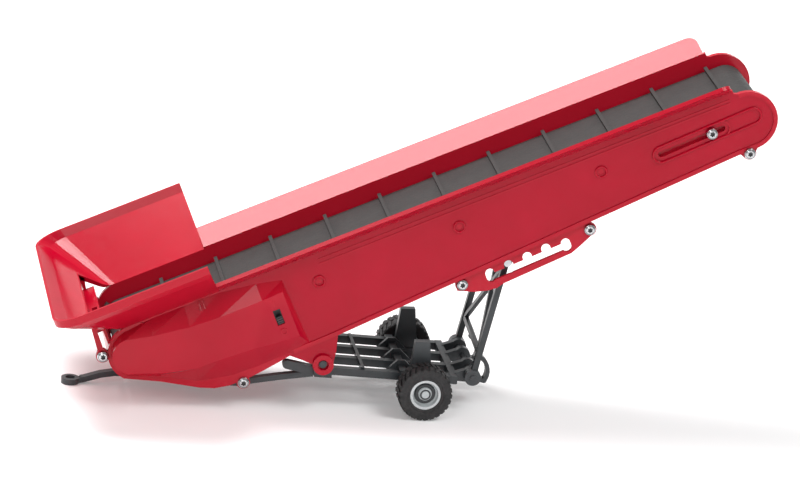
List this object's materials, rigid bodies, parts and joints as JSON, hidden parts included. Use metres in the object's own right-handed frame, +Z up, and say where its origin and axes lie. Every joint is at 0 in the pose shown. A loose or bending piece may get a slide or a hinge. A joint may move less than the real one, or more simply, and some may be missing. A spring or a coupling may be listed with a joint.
{
  "type": "toy belt conveyor",
  "caption": "Scale toy field conveyor: flared hopper and cleated belt boom on a wheeled chassis, with battery gear drive, notched height prop and towing eye.",
  "frame": {"origin": "middle of the bounding box on the ground, under the tyres and the towing eye", "axes": "+X along the machine from the hopper and towing eye towards the discharge head, +Y away from the switch side, +Z up"},
  "size_m": [0.3007, 0.11, 0.1523],
  "materials": {
    "red_shell": "gloss, moulded in colour",
    "dark_frame": "satin dark grey moulding",
    "belt_rubber": "matt grey-brown belt",
    "tyre_rubber": "matt black",
    "silver_rim": "silver grey satin",
    "screw_steel": "bright zinc plated",
    "rod_steel": "drawn wire",
    "nylon": "natural",
    "black_plastic": "satin",
    "cell_jacket": "printed film",
    "contact_brass": "bright"
  },
  "bodies": {
    "chassis": {"main_frame": "dark_frame", "drawbar": "dark_frame", "axle_rod": "rod_steel", "prop_hinge_rod": "dark_frame"},
    "near_wheel": {"tyre_near": "tyre_rubber", "rim_near": "silver_rim", "hub_cap_near": "silver_rim"},
    "far_wheel": {"tyre_far": "tyre_rubber", "rim_far": "silver_rim", "hub_cap_far": "silver_rim"},
    "prop": {"prop_frame": "dark_frame", "prop_pin": "rod_steel"},
    "boom": {"side_panel_near": "red_shell", "side_panel_far": "red_shell", "hopper": "red_shell", "belt_bed": "nylon", "gear_cover": "red_shell", "side_cover_far": "red_shell", "belly_cover": "red_shell", "battery_door": "red_shell", "battery_tray": "black_plastic", "battery_cells": "cell_jacket", "battery_contacts": "contact_brass", "switch_housing": "black_plastic", "motor": "rod_steel", "gear_pins": "rod_steel", "cross_tubes": "red_shell", "notch_rack_near": "red_shell", "notch_rack_far": "red_shell", "panel_screws_near": "screw_steel", "panel_screws_far": "screw_steel", "belt": "belt_rubber"},
    "drive_roller": {"drive_roller": "nylon", "drive_shaft": "rod_steel", "drive_gear": "nylon"},
    "upper_idler": {"upper_idler": "nylon"},
    "lower_idler": {"lower_idler": "nylon"},
    "pinion": {"motor_pinion": "nylon", "motor_shaft": "rod_steel"},
    "tensioner": {"tension_arm_near": "red_shell", "tension_arm_far": "red_shell", "tension_screws": "screw_steel"},
    "head_roller": {"head_roller": "nylon", "head_shaft": "rod_steel"},
    "switch": {"switch_slider": "black_plastic"}
  },
  "joints": [
    {"name": "boom_tilt", "type": "hinge", "parent": "chassis", "child": "boom", "pos_m": [-0.0335, 0, 0.0217], "axis": [0, -1, 0], "range_deg": [-19.5, 4.2]},
    {"name": "prop_swing", "type": "hinge", "parent": "chassis", "child": "prop", "pos_m": [0.0322, 0, 0.0152], "axis": [0, -1, 0], "range_deg": [-49.5, 10.8]},
    {"name": "near_wheel_spin", "type": "hinge", "parent": "chassis", "child": "near_wheel", "pos_m": [0.0102, -0.0316, 0.0115], "axis": [0, -1, 0], "continuous": true},
    {"name": "far_wheel_spin", "type": "hinge", "parent": "chassis", "child": "far_wheel", "pos_m": [0.0102, 0.0316, 0.0115], "axis": [0, -1, 0], "continuous": true},
    {"name": "drive_spin", "type": "hinge", "parent": "boom", "child": "drive_roller", "pos_m": [-0.11347, 0, 0.02298], "axis": [0, -1, 0], "continuous": true},
    {"name": "upper_idler_spin", "type": "hinge", "parent": "boom", "child": "upper_idler", "pos_m": [-0.10185, 0, 0.02596], "axis": [0, -1, 0], "continuous": true},
    {"name": "lower_idler_spin", "type": "hinge", "parent": "boom", "child": "lower_idler", "pos_m": [-0.08998, 0, 0.02417], "axis": [0, -1, 0], "continuous": true},
    {"name": "pinion_spin", "type": "hinge", "parent": "boom", "child": "pinion", "pos_m": [-0.08105, 0, 0.02305], "axis": [0, -1, 0], "continuous": true},
    {"name": "tension_slide", "type": "slide", "parent": "boom", "child": "tensioner", "axis": [0.8968, 0, 0.4424], "range_m": [-0.006, 0]},
    {"name": "head_spin", "type": "hinge", "parent": "tensioner", "child": "head_roller", "pos_m": [0.13883, 0, 0.13611], "axis": [0, -1, 0], "continuous": true},
    {"name": "switch_slide", "type": "slide", "parent": "boom", "child": "switch", "axis": [-0.4131, 0, 0.9107], "range_m": [0, 0.0031]}
  ],
  "couplings": [
    {"joint": "prop_swing", "follows": "boom_tilt", "ratio": 2.53},
    {"joint": "upper_idler_spin", "follows": "drive_spin", "ratio": -1},
    {"joint": "lower_idler_spin", "follows": "drive_spin", "ratio": 1},
    {"joint": "pinion_spin", "follows": "drive_spin", "ratio": -2},
    {"joint": "head_spin", "follows": "drive_spin", "ratio": 0.85}
  ]
}
